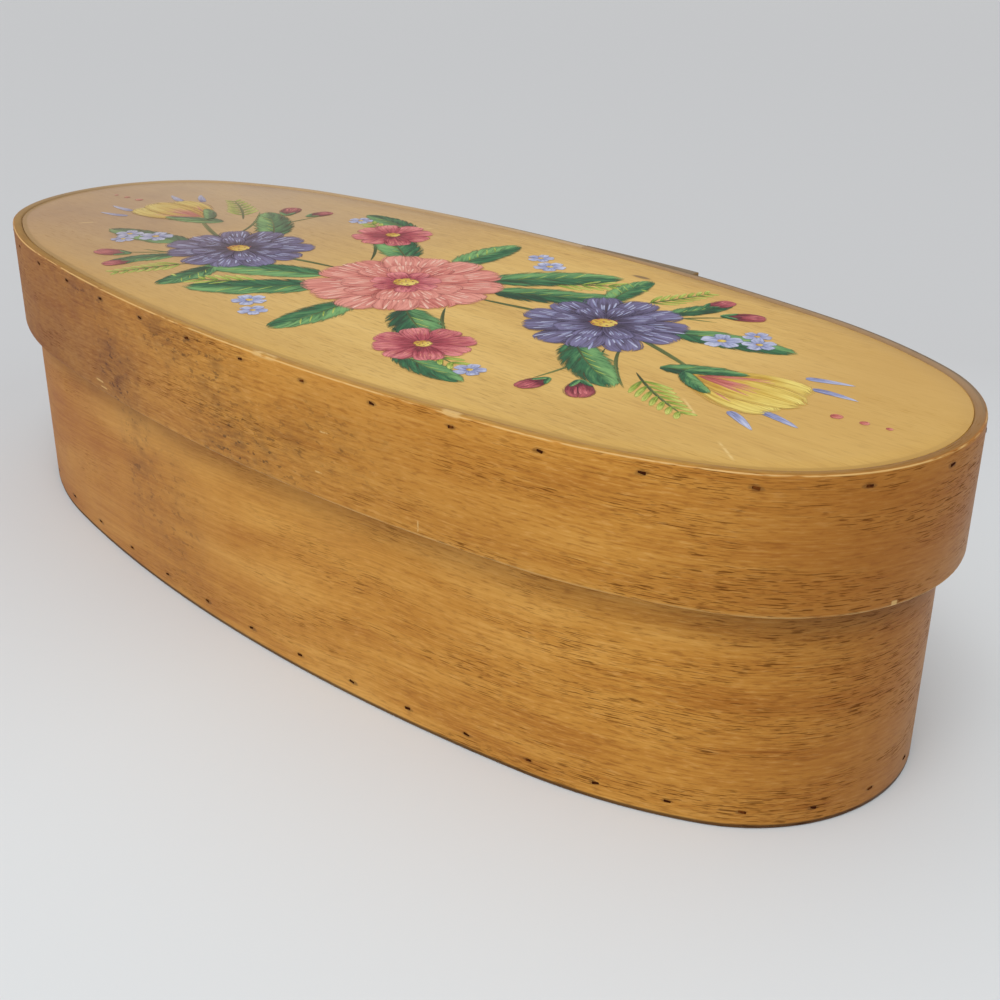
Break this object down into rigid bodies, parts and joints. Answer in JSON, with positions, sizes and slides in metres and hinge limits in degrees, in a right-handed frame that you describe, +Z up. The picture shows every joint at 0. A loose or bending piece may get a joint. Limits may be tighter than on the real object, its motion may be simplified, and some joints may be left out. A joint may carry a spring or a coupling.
{
  "type": "oval bentwood box",
  "caption": "Long oval bentwood box with a slip-over lid: stained strips bent round pale wooden panels, lapped at the back and nailed with small dark brads, for papers and keepsakes.",
  "frame": {"origin": "middle of the underside of the body, on the surface that the box stands on", "axes": "+X along the box towards the end that is nearest in the picture, +Y to the side with the laps, +Z up"},
  "size_m": [0.4061, 0.1634, 0.1064],
  "materials": {
    "band_wood": "amber-brown stain under satin varnish, dark pores along the strip",
    "panel_wood": "pale yellowish wood under satin varnish, with a painted spray of flowers",
    "bottom_wood": "bare wood",
    "brad_iron": "dark, dull"
  },
  "bodies": {
    "box": {"body_band": "band_wood", "body_lap_tacks": "brad_iron", "bottom_panel": "bottom_wood", "bottom_brads": "brad_iron"},
    "lid": {"lid_band": "band_wood", "lid_lap_tacks": "brad_iron", "lid_panel": "panel_wood", "lid_brads": "brad_iron"}
  },
  "joints": [
    {"name": "lid_lift", "type": "slide", "parent": "box", "child": "lid", "axis": [0, 0, 1], "range_m": [0, 0.12]}
  ]
}
